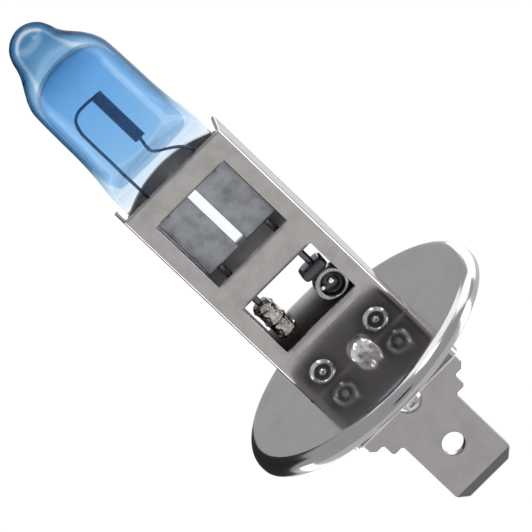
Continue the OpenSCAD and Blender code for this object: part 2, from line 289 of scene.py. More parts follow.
def feed(tree, label, source):
    """Links an output to a socket of the material's shader."""
    tree.links.new(source, tree.nodes["Principled BSDF"].inputs[label])


def bend_normal(tree, height, distance, strength):
    """Bends the shader's normal by a height pattern."""
    bump = put(tree, "ShaderNodeBump", {"Height": height, "Distance": distance, "Strength": strength})
    feed(tree, "Normal", bump.outputs["Normal"])


def metal(name, base, stain, amount, rough, spread, stretch=(1, 1, 0.1), cloud=300, wave=0.5, depth=0.00002):
    """A metal material: sheet_finish gives colour, roughness and height, and the height bends the normal."""
    made = fresh_material(name, {"Metallic": 1})
    tree = made.node_tree
    skin = put(tree, "ShaderNodeGroup",
               {"Base": (*base, 1), "Stain": (*stain, 1), "Stain Amount": amount, "Cloud Scale": cloud,
                "Grain Stretch": stretch, "Rough": rough, "Rough Spread": spread, "Wave": wave},
               node_tree=sheet_finish)
    feed(tree, "Base Color", skin.outputs["Colour"])
    feed(tree, "Roughness", skin.outputs["Roughness"])
    bend_normal(tree, skin.outputs["Height"], depth, 1)
    return made


def mount_piece(piece, material, slot, *nodes):
    """Gives a finished piece its material, lets it ride on the bulb, and puts it in place of its CAD nodes."""
    piece.data.materials.clear()
    piece.data.materials.append(material)
    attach(piece, "root")
    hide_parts(*nodes)


def drawn_flange(name, box, slot_x, slot_y):
    """A closed section swept round the axis. Inside the flat it blends from the slot's outline to a circle;
    from there it follows shoulder, rim, lip and underside, each a straight line or an arc, back to the slot."""
    angles = np.linspace(0, 2 * np.pi, 192, endpoint=False)
    turn = np.stack([np.cos(angles), np.sin(angles)], -1)
    slot = rounded_slot(slot_x, slot_y, 0.3 * mm, angles)
    outer, depth = box[1][0], -box[0][2]
    sheet, round_r = 0.5 * mm, 1.15 * mm
    flat_r = outer - round_r
    rows = []
    for k in (0, 0.004, 0.02, 0.1, 0.3, 0.55, 0.8, 0.95, 1):
        rows.append((slot * (1 - k) + turn * flat_r * k, -0.02 * mm * (k == 0)))
    for a in np.radians(np.linspace(6, 90, 15)):
        rows.append((turn * (flat_r + round_r * np.sin(a)), -round_r * (1 - np.cos(a))))
    lip = 0.16 * mm
    rows.append((turn * outer, -depth + lip))
    for a in np.radians([30, 60, 90]):
        rows.append((turn * (outer - lip * (1 - np.cos(a))), -depth + lip * (1 - np.sin(a))))
    rows.append((turn * (outer - sheet), -depth + 0.02 * mm))
    inner_r = round_r - sheet
    for a in np.radians([90, 67, 45, 22, 0]):
        rows.append((turn * (flat_r + inner_r * np.sin(a)), -round_r + inner_r * np.cos(a)))
    for k in (0.95, 0.6, 0.3, 0.05, 0):
        rows.append((slot * (1 - k) + turn * flat_r * k, -sheet))
    grid = np.array([np.column_stack([xy, np.full(len(angles), z)]) for xy, z in rows])
    return grid_mesh(name, grid, close_rows=True)


flange_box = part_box("flange")
clamp_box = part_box("clamp_front")
flange_steel = metal("flange_steel", (0.40, 0.385, 0.38), (0.3, 0.29, 0.285),
                     amount=0.35, rough=0.14, spread=0.07, stretch=(1, 1, 1), cloud=260)
flange = drawn_flange("prefocus_flange", flange_box, clamp_box[1][0], -clamp_box[0][1])
mount_piece(flange, flange_steel, "flange_steel", "flange")

# ---------------------------------------------------------------- clamp, front plate
# A channel of spring steel bent from one stamped blank: a front plate with two
# windows and two side walls. It grips the pinch and stands in the flange's slot.


def stamped_channel(name, box, window, bend, sheet):
    """The channel's outer skin: its section runs up one side wall, round a quarter circle, across the front and
    back down the other wall, and is carried up Z. Above the flange the walls spring open: x grows by a small
    share of the distance from the bend. Cells inside a window are left out, then Solidify gives the
    sheet's thickness inwards and Bevel breaks the edges."""
    (x0, y0, z0), (x1, y1, z1) = box
    half_open, low_sill, low_head, high_sill, high_head = window
    arc = np.radians(np.linspace(0, 90, 9))
    wall = np.linspace(y1, y0 + bend, 5)[:-1]
    left_x = np.linspace(x0 + bend, -half_open, 4)[1:]
    open_x = np.linspace(-half_open, half_open, 13)[1:]
    across = np.concatenate([left_x, open_x, -left_x[::-1][1:], [x1 - bend]])
    section = np.concatenate([
        np.column_stack([np.full(len(wall), x0), wall]),
        np.column_stack([x0 + bend - bend * np.cos(arc), y0 + bend - bend * np.sin(arc)]),
        np.column_stack([across[:-1], np.full(len(across) - 1, y0)]),
        np.column_stack([x1 - bend + bend * np.sin(arc), y0 + bend - bend * np.cos(arc)]),
        np.column_stack([np.full(len(wall), x1), wall[::-1]])])
    stops = [z0, low_sill, low_head, high_sill, high_head, z1]
    heights = np.concatenate([np.linspace(a, b, 7)[:-1] for a, b in zip(stops[:-1], stops[1:])] + [[z1]])
    points = np.empty((len(heights), len(section), 3))
    points[..., :2] = section[None]
    points[..., 2] = heights[:, None]
    spring = np.clip((heights[:, None] - 1 * mm) / (9 * mm), 0, 1)
    points[..., 0] += np.sign(section[:, 0]) * np.maximum(section[:, 1] - y0 - bend, 0) * 0.085 * spring ** 0.6
    middle_x = (section[:-1, 0] + section[1:, 0]) / 2
    on_front = (section[:-1, 1] + section[1:, 1]) / 2 < y0 + 1e-6
    middle_z = (heights[:-1] + heights[1:]) / 2
    in_low = (middle_z > low_sill) & (middle_z < low_head)
    in_high = (middle_z > high_sill) & (middle_z < high_head)
    open_cell = (in_low | in_high)[:, None] & (on_front & (np.abs(middle_x) < half_open))[None]
    index = np.arange(len(heights) * len(section)).reshape(len(heights), len(section))
    piece = smooth_skin(name, points, quad_cells(index)[~open_cell], outward=False)
    solid = piece.modifiers.new("sheet", "SOLIDIFY")
    solid.thickness = sheet
    solid.offset = -1
    solid.use_even_offset = True
    edge = piece.modifiers.new("edge", "BEVEL")
    edge.width = 0.07 * mm
    edge.segments = 2
    edge.limit_method = "ANGLE"
    edge.angle_limit = np.radians(50)
    return piece


clamp_steel = metal("clamp_steel", (0.375, 0.35, 0.335), (0.25, 0.23, 0.22),
                    amount=0.5, rough=0.14, spread=0.08, stretch=(1, 1, 0.06), cloud=520)


def heat_tint_and_painted_shade_round_welds(made, weld_x, weld_z, near, far):
    """Darkens a metal round each weld, partly as weld heat tint and partly as painted shade of the dark corner
    above the flange: the distance from (|x|, z) to (weld_x, weld_z), between near and far, is a mask that mixes
    the colour coming from sheet_finish towards burnt blue-brown."""
    tree = made.node_tree
    skin = next(node for node in tree.nodes if node.type == "GROUP")
    where = object_space(tree)
    parts = put(tree, "ShaderNodeSeparateXYZ", {0: where}).outputs
    flat = put(tree, "ShaderNodeCombineXYZ", {"X": calc(tree, "ABSOLUTE", parts["X"]), "Z": parts["Z"]})
    reach = put(tree, "ShaderNodeVectorMath", {0: flat.outputs[0], 1: (weld_x, 0, weld_z)},
                operation="DISTANCE")
    ragged = calc(tree, "MULTIPLY_ADD", noise(tree, where, 900), 0.9 * mm, reach.outputs["Value"])
    mask = ranged(tree, ragged, near, far, to_low=0.75, to_high=0)
    feed(tree, "Base Color", mixed(tree, mask, skin.outputs["Colour"], (0.085, 0.08, 0.085, 1)))


# Dark halos round the clamp's welds: partly heat tint, partly painted shade where the plate meets the flange.
heat_tint_and_painted_shade_round_welds(clamp_steel, weld_x=3.1 * mm, weld_z=1.42 * mm, near=1.2 * mm, far=2.6 * mm)
half_open = 3.95 * mm
low_sill, low_head, high_sill, high_head = 4.8 * mm, 10.3 * mm, 13.2 * mm, 20.8 * mm
window = (half_open, low_sill, low_head, high_sill, high_head)
clamp_front = stamped_channel("clamp_channel", clamp_box, window, bend=0.45 * mm, sheet=0.35 * mm)
mount_piece(clamp_front, clamp_steel, "clamp_steel", "clamp_front")

# ---------------------------------------------------------------- clamp, rear plate
# A flat stamping let in between the side walls, with windows behind the front
# ones and an arched top that follows the foot of the glass tube.


def pressed_plate(name, outline, holes, axis, low, high, edge):
    """A flat stamping from low to high along axis "y" or "z". Each loop of the outline is carried through the
    thickness on rings set in by edge times (1 - sin) at depth edge times (1 - cos), which rounds both edges,
    and the two faces between the loops are filled with triangles."""
    phi = np.linspace(0, np.pi / 2, 4)
    depth = np.concatenate([low + edge * (1 - np.cos(phi)), high - edge * (1 - np.cos(phi[::-1]))])
    inset = np.concatenate([edge * (1 - np.sin(phi)), edge * (1 - np.sin(phi[::-1]))])
    points, quads = [], []
    caps = [[], []]
    base = 0
    for number, loop in enumerate([outline] + list(holes)):
        loop = np.asarray(loop, float)
        area = np.sum(loop[:, 0] * np.roll(loop[:, 1], -1) - loop[:, 1] * np.roll(loop[:, 0], -1))
        if (area > 0) != (number == 0):
            loop = loop[::-1]
        step = np.roll(loop, -1, 0) - loop
        step /= np.linalg.norm(step, axis=1)[:, None]
        side = np.stack([-step[:, 1], step[:, 0]], 1)
        mitre = side + np.roll(side, 1, 0)
        mitre /= np.maximum((mitre ** 2).sum(1) / 2, 0.3)[:, None]
        flat = loop[None] + inset[:, None, None] * mitre[None]
        rows, count = flat.shape[:2]
        along = np.broadcast_to(depth[:, None, None], (rows, count, 1))
        if axis == "y":
            solid = np.concatenate([flat[..., :1], along, flat[..., 1:]], -1)
        else:
            solid = np.concatenate([flat, along], -1)
        index = base + np.arange(rows * count).reshape(rows, count)
        quads.append(quad_cells(np.hstack([index, index[:, :1]])).reshape(-1, 4))
        points.append(solid.reshape(-1, 3))
        caps[0].append((flat[0], index[0]))
        caps[1].append((flat[-1], index[-1]))
        base += rows * count
    faces = np.concatenate(quads).tolist()
    round_count = len(faces)
    for cap in caps:
        loops = [[Vector((x * 1000, y * 1000, 0)) for x, y in flat] for flat, _ in cap]
        order = np.concatenate([index for _, index in cap])
        faces += [[int(order[i]) for i in triangle] for triangle in tessellate_polygon(loops)]
    mesh = bpy.data.meshes.new(name)
    mesh.from_pydata(np.concatenate(points).tolist(), [], faces)
    work = bmesh.new()
    work.from_mesh(mesh)
    work.faces.ensure_lookup_table()
    for face in work.faces[:round_count]:
        face.smooth = True
    bmesh.ops.recalc_face_normals(work, faces=work.faces)
    work.to_mesh(mesh)
    work.free()
    return placed(name, mesh)


def box_loop(x0, x1, z0, z1, radius, steps=5):
    """A rectangle whose corners are quarter circles of the radius."""
    a = np.radians(np.linspace(0, 90, steps))
    left, right, low, high = x0 + radius, x1 - radius, z0 + radius, z1 - radius
    corners = []
    for cx, cz, start in ((right, low, -90), (right, high, 0), (left, high, 90), (left, low, 180)):
        turn = a + np.radians(start)
        corners.append(np.column_stack([cx + radius * np.cos(turn), cz + radius * np.sin(turn)]))
    return np.concatenate(corners)


def disc_loop(x, z, radius, steps=40):
    """A circle of points round (x, z)."""
    a = np.linspace(0, 2 * np.pi, steps, endpoint=False)
    return np.column_stack([x + radius * np.cos(a), z + radius * np.sin(a)])


rear_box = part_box("clamp_rear")
half = rear_box[1][0]
rise = 1.6 * mm
arch_r = (half * half + rise * rise) / (2 * rise)
spread_x = np.linspace(half, -half, 25)
arch = np.column_stack([spread_x, rear_box[1][2] - arch_r + np.sqrt(arch_r ** 2 - spread_x ** 2)])
splay = 0.2 * mm
splay_z = 10 * mm
arch[:, 0] *= 1 + splay / half
foot = rear_box[0][2]
rear_outline = np.concatenate([[[-half, foot], [half, foot], [half + splay, splay_z]], arch,
                               [[-half - splay, splay_z]]])
rear_holes = [box_loop(-half_open, half_open, low_sill + 1.4 * mm, low_head, 0.15 * mm),
              box_loop(-half_open, half_open, high_sill + 0.7 * mm, high_head, 0.15 * mm)]
clamp_rear = pressed_plate("clamp_back_plate", rear_outline, rear_holes, "y", rear_box[0][1], rear_box[1][1],
                           edge=0.05 * mm)
# Same spring steel as the front plate, made much lighter here as painted light in the shaded inside of the
# channel.
back_plate_painted_light = metal("clamp_back_steel_painted_light", (0.66, 0.64, 0.62), (0.26, 0.25, 0.24),
                   amount=0.4, rough=0.34, spread=0.1, stretch=(1, 1, 0.06), cloud=420)
mount_piece(clamp_rear, back_plate_painted_light, "clamp_steel", "clamp_rear")

# ---------------------------------------------------------------- spot welds
# Round nuggets pressed low into both plates by the welding electrodes: a raised
# ring, a moat burnt dark by the current, and a bright domed middle.


def turned(name, profile, centre, axis, steps=48):
    """A profile of (radius, height) points turned round an axis, "x", "y" or "z", through centre."""
    profile = np.asarray(profile, float)
    a = np.linspace(0, 2 * np.pi, steps, endpoint=False)
    r, h = profile[:, 0][:, None], profile[:, 1][:, None] * np.ones((1, steps))
    u, v = r * np.cos(a)[None], r * np.sin(a)[None]
    grid = {"x": np.stack([h, u, v], -1), "y": np.stack([u, h, v], -1), "z": np.stack([u, v, h], -1)}[axis]
    return grid_mesh(name, grid + np.array(centre))


def smooth_run(knots, count):
    """A Catmull-Rom curve through the knots: each span is the cubic whose end slopes are half the chord between
    the knots on either side. Returns count points, evenly spread over the spans."""
    p = np.asarray(knots, float)
    p = np.vstack([2 * p[0] - p[1], p, 2 * p[-1] - p[-2]])
    t = np.linspace(0, len(p) - 3 - 1e-9, count)
    i = t.astype(int)
    f = (t - i)[:, None]
    a, b, c, d = p[i], p[i + 1], p[i + 2], p[i + 3]
    return 0.5 * (2 * b + (c - a) * f + (2 * a - 5 * b + 4 * c - d) * f ** 2 + (3 * b - a - 3 * c + d) * f ** 3)


def lathe_profile(knots, count):
    """A smooth profile through knots of (radius, height), closed on the axis at both ends."""
    profile = smooth_run(knots, count)
    profile[:, 0] = np.maximum(profile[:, 0], 0)
    profile[[0, -1], 0] = 0
    return profile


def joined(name, pieces):
    """One object from several: their points and faces are put end to end."""
    work = bmesh.new()
    for piece in pieces:
        work.from_mesh(piece.data)
        bpy.data.objects.remove(piece)
    mesh = bpy.data.meshes.new(name)
    work.to_mesh(mesh)
    work.free()
    return placed(name, mesh)


weld_metal = metal("weld_metal", (0.62, 0.61, 0.6), (0.12, 0.11, 0.11),
                   amount=0.75, rough=0.13, spread=0.1, stretch=(1, 1, 1), cloud=900, wave=1.0, depth=0.00006)
weld_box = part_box("weld_spots")
weld_x = weld_box[1][0] - 0.95 * mm
weld_z = (weld_box[0][2] + weld_box[1][2]) / 2
dimple = lathe_profile([(0, 0.2), (0.22, 0.16), (0.4, -0.06), (0.52, -0.16), (0.64, -0.04), (0.78, 0.2),
                        (0.95, 0.17), (1.08, 0.02), (1.12, -0.1), (0, -0.3)], 80) * mm
nuggets = []
for side in (-1, 1):
    for face in (-1, 1):
        centre = (side * weld_x, face * weld_box[1][1], weld_z)
        nuggets.append(turned("nugget", dimple * (1, face), centre, "y"))
mount_piece(joined("spot_weld_nuggets", nuggets), weld_metal, "weld_steel", "weld_spots")

# ---------------------------------------------------------------- side welds
# Small beads of melted steel where the rear plate is fused to the side walls'
# edges, three a side.
bead_r, bead_x, bead_y = 0.4 * mm, 5.25 * mm, 1.62 * mm
lat = np.linspace(0, np.pi, 13)[:, None]
lon = np.linspace(0, 2 * np.pi, 24, endpoint=False)[None]
beads = []
for side in (-1, 1):
    for height in (3.6, 12.0, 21.4):
        lump = bead_r * (1 + 0.08 * np.sin(3 * lon + height) * np.sin(lat) ** 2)
        ball = np.stack([lump * np.sin(lat) * np.cos(lon), 0.7 * lump * np.sin(lat) * np.sin(lon),
                         1.3 * lump * np.cos(lat) * np.ones_like(lon)], -1)
        beads.append(grid_mesh("bead", ball + np.array([side * bead_x, bead_y, height * mm])))
mount_piece(joined("edge_weld_beads", beads), weld_metal, "weld_steel", "side_welds")

# ---------------------------------------------------------------- flange tabs
# Two tongues turned up out of the flange's slot and pressed like blisters against the middle of each clamp
# face, polished where the electrode sat and brightened well beyond the flange's steel as a painted highlight.


def signed_power(v, p):
    """The size of v to the power p, with v's own sign."""
    return np.sign(v) * np.abs(v) ** p


def pressed_tongue(name, centre, reach, face, floor_z):
    """A superellipsoid of half sizes reach whose sides are powers of sine and cosine, hollowed by a bell-shaped
    groove down its middle, and flattened where it meets the clamp's face and the flange's underside."""
    lat = np.linspace(-np.pi / 2, np.pi / 2, 41)[:, None]
    lon = np.linspace(0, 2 * np.pi, 72, endpoint=False)[None]
    x = signed_power(np.cos(lat), 0.7) * signed_power(np.cos(lon), 0.75)
    y = signed_power(np.cos(lat), 0.7) * signed_power(np.sin(lon), 0.75)
    z = signed_power(np.sin(lat), 0.8) * np.ones_like(lon)
    y = y * (1 - 0.3 * np.exp(-((x - 0.1) / 0.3) ** 2)) + 0.04 * np.sin(7 * x + 5 * z)
    y = np.maximum(y, -0.05)
    height = np.maximum(centre[2] + reach[2] * z, floor_z)
    return grid_mesh(name, np.stack([centre[0] + reach[0] * x, centre[1] + face * reach[1] * y, height], -1))


tab_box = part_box("base_tabs")
tab_x = (tab_box[0][0] + tab_box[1][0]) / 2
tab_reach = ((tab_box[1][0] - tab_box[0][0]) / 2, 1.2 * mm, tab_box[1][2])
tongues = []
for face in (-1, 1):
    centre = (tab_x, face * clamp_box[1][1], 0.0)
    tongues.append(pressed_tongue("tongue", centre, tab_reach, face, tab_box[0][2]))
# The tongues' steel is far brighter than the flange's own: partly polish, partly a painted highlight.
tongue_polish_and_painted_highlight = metal("tongue_polish_and_painted_highlight", (0.82, 0.8, 0.77), (0.3, 0.28, 0.27),
                     amount=0.6, rough=0.16, spread=0.1, stretch=(1, 1, 1), cloud=600, wave=1.0, depth=0.00004)
mount_piece(joined("flange_tongues", tongues), tongue_polish_and_painted_highlight, "flange_steel", "base_tabs")

# ---------------------------------------------------------------- quartz tube and pinch
# One piece of quartz: a drawn tube, blue-coated, softened and pressed flat round
# the foils at its foot, and drawn off and sealed at the exhaust tip.


def quartz_tube(name, top):
    """The outer skin is a ring of half widths a(z) and b(z) carried down the axis, round as an ellipse in the
    tube and squared to a superellipse in the pinch, with a smoother-step blend of b and the exponent between.
    The tip's rings lean to one side. The cavity is a second skin of the same kind, turned to face inwards. The
    attribute outer_skin is 1 on the first and 0 on the second."""
    drawn = [(top, 0), (top - 0.1, 0.65), (top - 0.45, 1.33), (top - 1.0, 1.87), (top - 1.7, 2.2), (38.5, 2.4),
             (37.8, 2.72), (37.1, 3.17), (36.4, 3.62), (35.6, 4.02), (34.6, 4.27), (32.0, 4.36), (29.5, 4.4)]
    pinch_a, pinch_b, tube_b = 4.8, 1.3, 4.4
    foot_z, blend_low, blend_high = 12.6, 24.2, 28.4
    knots = [(z, r, r, 2) for z, r in drawn]
    knots += [(28.2, 4.47, 4.4, 2), (27.4, 4.53, 4.2, 2), (26.7, 4.6, 3.6, 2.1), (26.1, 4.66, 2.75, 2.4),
              (25.5, 4.72, 1.95, 3.2), (25.0, 4.76, 1.5, 5), (24.5, 4.8, 1.32, 8)]
    knots += [(z, pinch_a, pinch_b, 9) for z in (24.0, 23.4, 22.4, 20.4, 17.5, 15.2, 13.9, 13.2, 12.85, 12.65)]
    knots += [(12.5, 4.72, 1.22, 9), (12.4, 4.5, 1.05, 9), (12.4, 0, 0, 9)]
    z, a, b, power = smooth_run(knots, 190).T[:, :, None]
    flat = 1 - np.clip((z - blend_low) / (blend_high - blend_low), 0, 1)
    flat = flat ** 3 * (flat * (6 * flat - 15) + 10)
    pressed = (z > foot_z) & (z < blend_high)
    b = np.where(pressed, tube_b + (pinch_b - tube_b) * flat, b)
    power = np.where(pressed, 2 + 5 * flat ** 2, power)
    a, b, power = np.maximum(a, 0), np.maximum(b, 0), np.clip(power, 2, 9)
    a[0] = b[0] = a[-1] = b[-1] = 0
    turn = np.linspace(0, 2 * np.pi, 96, endpoint=False)[None]
    c, s = np.cos(turn), np.sin(turn)
    rise = np.clip((z - 36.3) / 2.6, 0, 1)
    lean = -0.2 * rise ** 2 * (3 - 2 * rise)
    skin = [a * signed_power(c, 2 / power) + lean, b * signed_power(s, 2 / power), z * np.ones_like(c)]
    outer = grid_mesh("outer", np.stack(skin, -1) * mm)
    hollow = [(36.4, 0, 0), (36.3, 0.9, 0.9), (35.9, 2.1, 2.1), (35.4, 2.95, 2.95), (34.6, 3.55, 3.55),
              (33.6, 3.8, 3.8), (32.0, 3.88, 3.88), (30, 3.9, 3.9), (28.4, 3.98, 3.8), (27.4, 4.05, 3.3),
              (26.7, 4.1, 2.5), (26.1, 4.08, 1.7), (25.6, 3.98, 1.0), (25.2, 3.75, 0.55), (24.95, 3.3, 0.35),
              (24.85, 0, 0)]
    z, a, b = smooth_run(hollow, 110).T[:, :, None]
    a, b = np.maximum(a, 0), np.maximum(b, 0)
    a[0] = b[0] = a[-1] = b[-1] = 0
    inner = grid_mesh("inner", np.stack([a * c, b * s, z * np.ones_like(c)], -1) * mm)
    inner.data.flip_normals()
    counts = [len(outer.data.vertices), len(inner.data.vertices)]
    whole = joined(name, [outer, inner])
    share = whole.data.attributes.new("outer_skin", "FLOAT", "POINT")
    share.data.foreach_set("value", np.repeat(np.array([1, 0], np.float32), counts))
    return whole


def ramp(tree, value, stops, curve="LINEAR"):
    """A colour ramp read at a value, with stops of (place, colour)."""
    node = put(tree, "ShaderNodeValToRGB", {"Fac": value})
    marks = node.color_ramp.elements
    node.color_ramp.interpolation = curve
    while len(marks) < len(stops):
        marks.new(0.5)
    for mark, (place, colour) in zip(marks, stops):
        mark.position = place
        mark.color = (*colour, 1)
    return node.outputs["Color"]


def blue_quartz():
    """Clear quartz whose tint follows height: deepest in the tip, blue down the tube, nearly clear in the
    pinch. On the outer skin a pale band, a painted highlight streak, lies where the surface starts to turn
    away, and beyond it the tint deepens as the surface turns away."""
    made = fresh_material("blue_quartz", {"Roughness": 0.0, "IOR": 1.06, "Transmission Weight": 1,
                                          "Coat Weight": 0.25, "Coat IOR": 1.5, "Coat Roughness": 0.06})
    tree = made.node_tree
    where = object_space(tree)
    z = put(tree, "ShaderNodeSeparateXYZ", {0: where}).outputs["Z"]
    wander = calc(tree, "MULTIPLY_ADD", noise(tree, where, 220, 3), 2.2 * mm, z)
    height = ranged(tree, wander, 22 * mm, 42 * mm, curve="LINEAR")
    stops = [(0.0, (0.93, 0.95, 0.97)), (0.1, (0.9, 0.93, 0.96)), (0.17, (0.62, 0.76, 0.88)),
             (0.26, (0.52, 0.70, 0.87)), (0.36, (0.43, 0.66, 0.87)), (0.7, (0.34, 0.58, 0.82)),
             (0.84, (0.09, 0.25, 0.45)), (1.0, (0.05, 0.16, 0.32))]
    tint = ramp(tree, height, stops)
    facing = put(tree, "ShaderNodeLayerWeight", {"Blend": 0.5}).outputs["Facing"]
    outer = put(tree, "ShaderNodeAttribute", {}, attribute_name="outer_skin").outputs["Fac"]
    # Painted highlight: a band of the facing value, on the outer skin only, pulls the tint towards near white
    # as a streak down each side.
    painted_streak_band = ramp(tree, facing, [(0.2, (0, 0, 0)), (0.3, (0.5, 0.5, 0.5)), (0.4, (0, 0, 0))], "EASE")
    pale = mixed(tree, calc(tree, "MULTIPLY", painted_streak_band, outer), tint, (0.9, 0.95, 1.0, 1))
    above = ranged(tree, z, 25 * mm, 29 * mm)
    edge = calc(tree, "MULTIPLY", ranged(tree, facing, 0.37, 0.68), above)
    deep = mixed(tree, calc(tree, "MULTIPLY", edge, outer), pale, (0.04, 0.14, 0.24, 1), "MULTIPLY")
    feed(tree, "Base Color", deep)
    bend_normal(tree, noise(tree, where, 130, 1), 0.00004, 0.6)
    return made


quartz = quartz_tube("quartz_tube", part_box("quartz_envelope")[1][2] / mm)
mount_piece(quartz, blue_quartz(), "quartz_tinted", "quartz_envelope", "pinch_seal")
# Two of the lamps would glare through the clear glass, so they leave it out.
unlit = bpy.data.collections.new("not_lit_from_behind")
unlit.objects.link(quartz)
unlit.collection_objects[0].light_linking.link_state = "EXCLUDE"
for lamp in ("right_behind", "right_high"):
    bpy.data.objects[lamp].light_linking.receiver_collection = unlit

# ---------------------------------------------------------------- filament
# Tungsten wire wound into one close coil that lies along the axis. The two inner
# leads hold its ends.


def round_wire(name, path, radius, sides=12):
    """A tube round a path: at each point two directions square to the tangent, found from one fixed direction,
    carry a circle of the radius, and both ends close to a point."""
    path = np.asarray(path, float)
    tangent = np.gradient(path, axis=0)
    tangent /= np.linalg.norm(tangent, axis=1)[:, None]
    fixed = np.array([0.03, 1.0, 0.02])
    first = np.cross(tangent, fixed)
    first /= np.linalg.norm(first, axis=1)[:, None]
    second = np.cross(tangent, first)
    radii = np.full(len(path), radius)
    path = np.vstack([path[:1], path, path[-1:]])
    first, second = (np.vstack([v[:1], v, v[-1:]]) for v in (first, second))
    radii = np.concatenate([[0], radii, [0]])
    a = np.linspace(0, 2 * np.pi, sides, endpoint=False)
    ring = np.cos(a)[None, :, None] * first[:, None] + np.sin(a)[None, :, None] * second[:, None]
    return grid_mesh(name, path[:, None] + radii[:, None, None] * ring)


tungsten = metal("tungsten", (0.15, 0.24, 0.36), (0.06, 0.1, 0.17),
                 amount=0.5, rough=0.35, spread=0.1, stretch=(1, 1, 1), cloud=1500, wave=0.2)
coil_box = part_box("filament")
turns = 29
wire_r = 0.088 * mm
coil_x = 0.4 * mm
t = np.linspace(0, 1, turns * 24 + 1)
coil_r = (coil_box[1][0] - coil_box[0][0]) / 2 - wire_r
turn = 2 * np.pi * turns * t
rise = coil_box[1][2] - coil_box[0][2] - 2 * wire_r
coil_path = np.column_stack([coil_x + coil_r * np.cos(turn), coil_r * np.sin(turn),
                             coil_box[0][2] + wire_r + rise * t])
filament = round_wire("coiled_filament", coil_path, wire_r, 8)
mount_piece(filament, tungsten, "tungsten", "filament")

# ---------------------------------------------------------------- inner leads
# Drawn tungsten wires: the long one hooks over to the coil's top end, the short
# one slants in to its lower end. Both are welded to the foils in the pinch.
lead_metal = metal("lead_metal", (0.12, 0.17, 0.25), (0.05, 0.075, 0.12),
                   amount=0.5, rough=0.25, spread=0.1, stretch=(1, 1, 0.2), cloud=900, wave=0.2)
lead_r = 0.14 * mm
long_path = smooth_run([(-2.7, 0, 20.2), (-2.7, 0, 24), (-2.7, 0, 27), (-2.7, 0, 30.0), (-2.62, 0, 30.9),
                        (-2.3, 0, 31.75), (-1.65, 0, 32.2), (-0.85, 0, 32.26), (0.0, 0, 32.2),
                        (0.5, 0, 32.1)], 90) * mm
mount_piece(round_wire("long_inner_lead", long_path, lead_r), lead_metal, "tungsten", "long_lead")
short_path = smooth_run([(2.7, 0, 20.2), (2.7, 0, 22.3), (2.64, 0, 23.1), (2.2, 0, 23.8), (1.3, 0, 24.6),
                         (0.45, 0, 25.3), (0.22, 0, 25.7), (0.3, 0, 26.2), (0.4, 0, 26.8)], 70) * mm
mount_piece(round_wire("short_inner_lead", short_path, lead_r), lead_metal, "tungsten", "short_lead")

# ---------------------------------------------------------------- foils
# Two ribbons of molybdenum, rolled thin with feathered edges so that the pressed
# quartz seals on them, slightly crinkled by the press.


def closed_ends(rows):
    """The grid with one more row at each end, whose points all lie at the middle of the row beside it."""
    first, last = (np.broadcast_to(row.mean(0), rows[:1].shape) for row in (rows[0], rows[-1]))
    return np.concatenate([first, rows, last])


def feathered_foil(name, box, phase):
    """A lens section, half thickness (1 - s squared) over the width, carried up Z on a slightly wavy middle
    surface; front and back rows close the section."""
    (x0, y0, z0), (x1, y1, z1) = box
    s = np.linspace(-1, 1, 33)
    up = np.linspace(0, 1, 60)[:, None]
    half_t = (y1 - y0) / 2
    middle = 0.35 * half_t * np.sin(2.2 * s[None] * 3 + phase) * np.sin(up * 17 + phase)
    thick = 0.6 * half_t * (1 - s[None] ** 2) + 0.03 * half_t
    x = (x0 + x1) / 2 + (x1 - x0) / 2 * s[None] * np.ones_like(up)
    z = z0 + (z1 - z0) * up * np.ones_like(s[None])
    front = np.stack([x, middle - thick, z], -1)
    back = np.stack([x, middle + thick, z], -1)[:, ::-1]
    return grid_mesh(name, closed_ends(np.concatenate([front, back], 1)))


molybdenum = metal("molybdenum", (0.34, 0.34, 0.35), (0.16, 0.16, 0.17),
                   amount=0.7, rough=0.42, spread=0.15, stretch=(1, 1, 1), cloud=700, wave=1.0, depth=0.00006)
foil_left = feathered_foil("foil_ribbon_left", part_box("foil_left"), phase=0.4)
mount_piece(foil_left, molybdenum, "molybdenum", "foil_left")
foil_right = feathered_foil("foil_ribbon_right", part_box("foil_right"), phase=1.9)
mount_piece(foil_right, molybdenum, "molybdenum", "foil_right")

# ---------------------------------------------------------------- outer leads
# Thicker molybdenum wires, welded to the foils and sealed in the pinch, that
# come out through its foot.
outer_metal = metal("outer_wire", (0.42, 0.41, 0.4), (0.2, 0.19, 0.18),
                    amount=0.5, rough=0.25, spread=0.1, stretch=(1, 1, 0.1), cloud=900, wave=0.3)
moly_wire = metal("molybdenum_wire", (0.15, 0.15, 0.16), (0.06, 0.06, 0.07),
                  amount=0.7, rough=0.4, spread=0.1, stretch=(1, 1, 0.1), cloud=1200, wave=0.5)
for label, node in (("outer_wire_ground", "outer_lead_ground"), ("outer_wire_live", "outer_lead_live")):
    (x0, y0, z0), (x1, y1, z1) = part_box(node)
    x, r = (x0 + x1) / 2, (x1 - x0) / 2
    z1 -= 1.3 * mm
    path = smooth_run([(x, 0, z0), (x, 0, z0 * 0.7 + z1 * 0.3), (x, 0, z0 * 0.3 + z1 * 0.7), (x, 0, z1)], 24)
    mount_piece(round_wire(label, path, r, 20), moly_wire, "lead_wire", node)

# ---------------------------------------------------------------- ground sleeve
# A short nickel tube crimped over the ground wire in three rings and welded to
# the clamp, its surface burnt and spattered by the weld.


